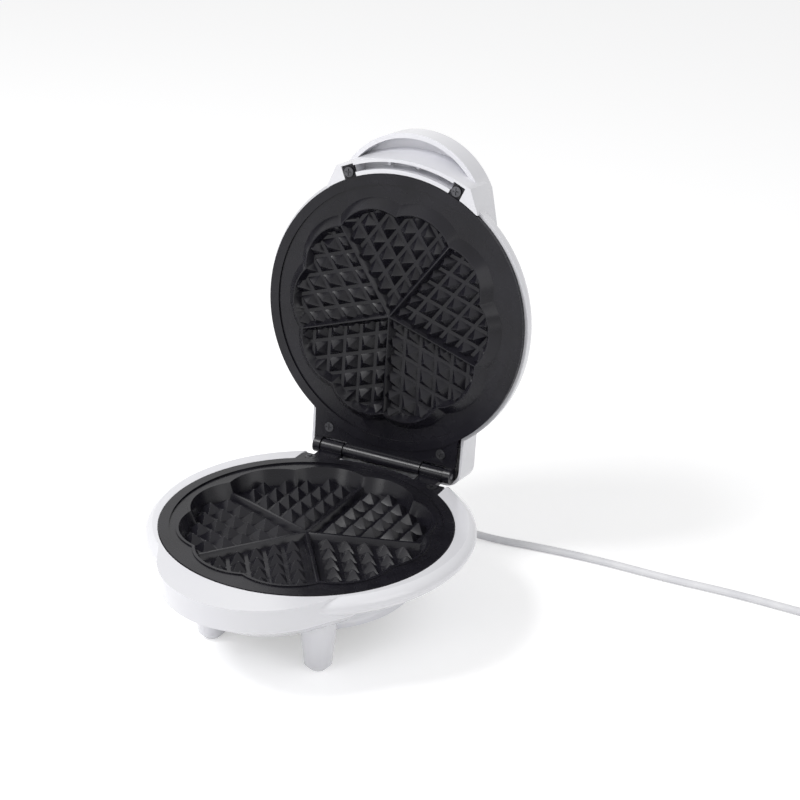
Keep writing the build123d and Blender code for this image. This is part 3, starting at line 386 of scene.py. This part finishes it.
cordShape = {
    "diameter": 0.0056,
    "length": 0.98,
    "coilCentre": (0.384, 0.206),
    "outerTurn": 0.0358,
    "innerTurn": 0.0302,
    "topTurn": 0.033,
    "pointsPerTurn": 16,
    "turns": 2.5,
    "startTurn": 0.25,         # share of a turn before the side where the cord comes in
    "inward": (0.7, 0.95),     # turns between which it moves to the inner ring
    "climb": (1.7, 2.0),       # turns between which it climbs on top
    "tail": 0.01,              # straight end into the plug
    "tailRise": 0.0002,
    "sides": 4,
    "smoothness": 6,
}
cordRoute = [
    (-0.026, 0.110, 0.036),
    (-0.026, 0.126, 0.036),
    (-0.020, 0.1415, 0.0334),
    (-0.008, 0.1518, 0.0272),
    (0.0105, 0.1558, 0.0174),
    (0.036, 0.1552, 0.0072),
    (0.066, 0.1598, 0.003),
    (0.103, 0.1662, 0.0028),
    (0.148, 0.1698, 0.0028),
    (0.200, 0.1693, 0.0028),
    (0.252, 0.1726, 0.0028),
    (0.302, 0.1714, 0.0028),
    (0.346, 0.1712, 0.0028),
    (0.384, 0.1702, 0.0028),
]


def between(value, start, end, low, high):
    share = min(max((value - start) / (end - start), 0), 1)
    return low + (high - low) * share


def coilPoints():
    centreX, centreY = cordShape["coilCentre"]
    low = cordShape["diameter"] / 2
    high = low + cordShape["diameter"]
    points = []
    for step in range(1, round(cordShape["turns"] * cordShape["pointsPerTurn"]) + 1):
        turn = step / cordShape["pointsPerTurn"]
        radius = between(turn, *cordShape["inward"], cordShape["outerTurn"], cordShape["innerTurn"])
        radius = between(turn, *cordShape["climb"], radius, cordShape["topTurn"])
        height = between(turn, *cordShape["climb"], low, high)
        angle = 2 * pi * (turn - cordShape["startTurn"])
        points.append((centreX + radius * cos(angle), centreY + radius * sin(angle), height))
    points.append((centreX - cordShape["tail"], centreY + cordShape["topTurn"], high + cordShape["tailRise"]))
    return points


def makeCord():
    points = [(x, y + plateMiddle.y, z) for x, y, z in cordRoute + coilPoints()]
    curve = bpy.data.curves.new("powerCord", "CURVE")
    curve.dimensions = "3D"
    curve.bevel_depth = cordShape["diameter"] / 2
    curve.bevel_resolution = cordShape["sides"]
    curve.use_fill_caps = True
    curve.resolution_u = cordShape["smoothness"]
    line = curve.splines.new("NURBS")
    line.points.add(len(points) - 1)
    for point, place in zip(line.points, points):
        point.co = (*place, 1)
    line.order_u = 3
    line.use_endpoint_u = True
    cord = bpy.data.objects.new("powerCord", curve)
    scene.collection.objects.link(cord)
    curve.materials.append(finish["cordWhite"])
    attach(cord, "base")
    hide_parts("power_cord", "cord_coil")


makeCord()
print("cord ready")


# Camera, matched to the photo

shot = {
    "turn": 27.03,             # degrees round to the right of the handle side
    "rise": 24.06,             # degrees above the table
    "roll": 1.53,
    "distance": 1.34028,
    "sideways": 0.06308,       # how far the view is moved off the plate's middle
    "upward": 0.0825,
    "lens": 89.04,
    "sensor": 36,
}


def placeCamera():
    turn, rise, roll = (radians(shot[k]) for k in ("turn", "rise", "roll"))
    back = Vector((sin(turn) * cos(rise), -cos(turn) * cos(rise), sin(rise)))
    right = Vector((cos(turn), sin(turn), 0))
    up = back.cross(right)
    tiltedRight = right * cos(roll) + up * sin(roll)
    tiltedUp = up * cos(roll) - right * sin(roll)
    place = plateMiddle + back * shot["distance"] + tiltedRight * shot["sideways"] + tiltedUp * shot["upward"]
    data = bpy.data.cameras.new("photoCamera")
    data.lens = shot["lens"]
    data.sensor_width = shot["sensor"]
    camera = bpy.data.objects.new("photoCamera", data)
    axes = Matrix((tiltedRight, tiltedUp, back)).transposed()
    camera.matrix_world = Matrix.Translation(place) @ axes.to_4x4()
    scene.collection.objects.link(camera)
    scene.camera = camera


placeCamera()


# Table, room light and lamps

studio = {
    "floorHalf": 6.0,
    "floorColour": (0.88, 0.88, 0.885, 1),
    "floorRoughness": 0.9,
    "floorLift": 0.4,          # added where the table is seen, so that it reads as white
    "white": (1, 1, 1, 1),
    "roomLight": 0.5,
    "aimAbove": (0, 0.05, 0.05),
    "lamps": {
        "topSoftbox": {"place": (-0.75, -0.75, 1.45), "size": 0.55, "power": 15.0},
        "frontSoftbox": {"place": (-0.5, -1.6, 0.7), "size": 0.5, "power": 3.0},
        "sideSoftbox": {"place": (1.4, -0.2, 0.7), "size": 0.9, "power": 3.0},
    },
}


def seenFactor(nodes, links):
    path = nodes.new("ShaderNodeLightPath")
    seen = path.outputs["Is Camera Ray"]
    for ray in ("Is Glossy Ray", "Is Transmission Ray"):
        either = nodes.new("ShaderNodeMath")
        either.operation = "MAXIMUM"
        links.new(seen, either.inputs[0])
        links.new(path.outputs[ray], either.inputs[1])
        seen = either.outputs[0]
    return seen


def makeFloor():
    mesh = bpy.data.meshes.new("floor")
    half = studio["floorHalf"]
    corners = [(-half, -half, 0), (half, -half, 0), (half, half, 0), (-half, half, 0)]
    mesh.from_pydata(corners, [], [tuple(range(len(corners)))])
    floor = bpy.data.objects.new("floor", mesh)
    scene.collection.objects.link(floor)
    material = bpy.data.materials.new("whiteTable")
    material.use_nodes = True
    nodes, links = material.node_tree.nodes, material.node_tree.links
    skin = nodes["Principled BSDF"]
    skin.inputs["Base Color"].default_value = studio["floorColour"]
    skin.inputs["Roughness"].default_value = studio["floorRoughness"]
    skin.inputs["Specular IOR Level"].default_value = 0
    lift = nodes.new("ShaderNodeEmission")
    amount = nodes.new("ShaderNodeMath")
    amount.operation = "MULTIPLY"
    amount.inputs[1].default_value = studio["floorLift"]
    links.new(seenFactor(nodes, links), amount.inputs[0])
    links.new(amount.outputs[0], lift.inputs["Strength"])
    total = nodes.new("ShaderNodeAddShader")
    links.new(skin.outputs[0], total.inputs[0])
    links.new(lift.outputs[0], total.inputs[1])
    links.new(total.outputs[0], nodes["Material Output"].inputs["Surface"])
    mesh.materials.append(material)


def makeRoom():
    world = bpy.data.worlds.new("softRoom")
    scene.world = world
    world.use_nodes = True
    nodes, links = world.node_tree.nodes, world.node_tree.links
    room = nodes["Background"]
    room.inputs["Color"].default_value = studio["white"]
    room.inputs["Strength"].default_value = studio["roomLight"]
    seen = nodes.new("ShaderNodeBackground")
    seen.inputs["Color"].default_value = studio["white"]
    blend = nodes.new("ShaderNodeMixShader")
    links.new(seenFactor(nodes, links), blend.inputs[0])
    links.new(room.outputs[0], blend.inputs[1])
    links.new(seen.outputs[0], blend.inputs[2])
    links.new(blend.outputs[0], nodes["World Output"].inputs["Surface"])


def makeLamps():
    aim = plateMiddle + Vector(studio["aimAbove"])
    for name, lamp in studio["lamps"].items():
        data = bpy.data.lights.new(name, "AREA")
        data.energy = lamp["power"]
        data.size = lamp["size"]
        light = bpy.data.objects.new(name, data)
        place = Vector(lamp["place"])
        light.location = place
        light.rotation_euler = (aim - place).to_track_quat("-Z", "Y").to_euler()
        scene.collection.objects.link(light)


makeFloor()
makeRoom()
makeLamps()
scene.view_settings.view_transform = "Standard"
print("camera and studio ready")
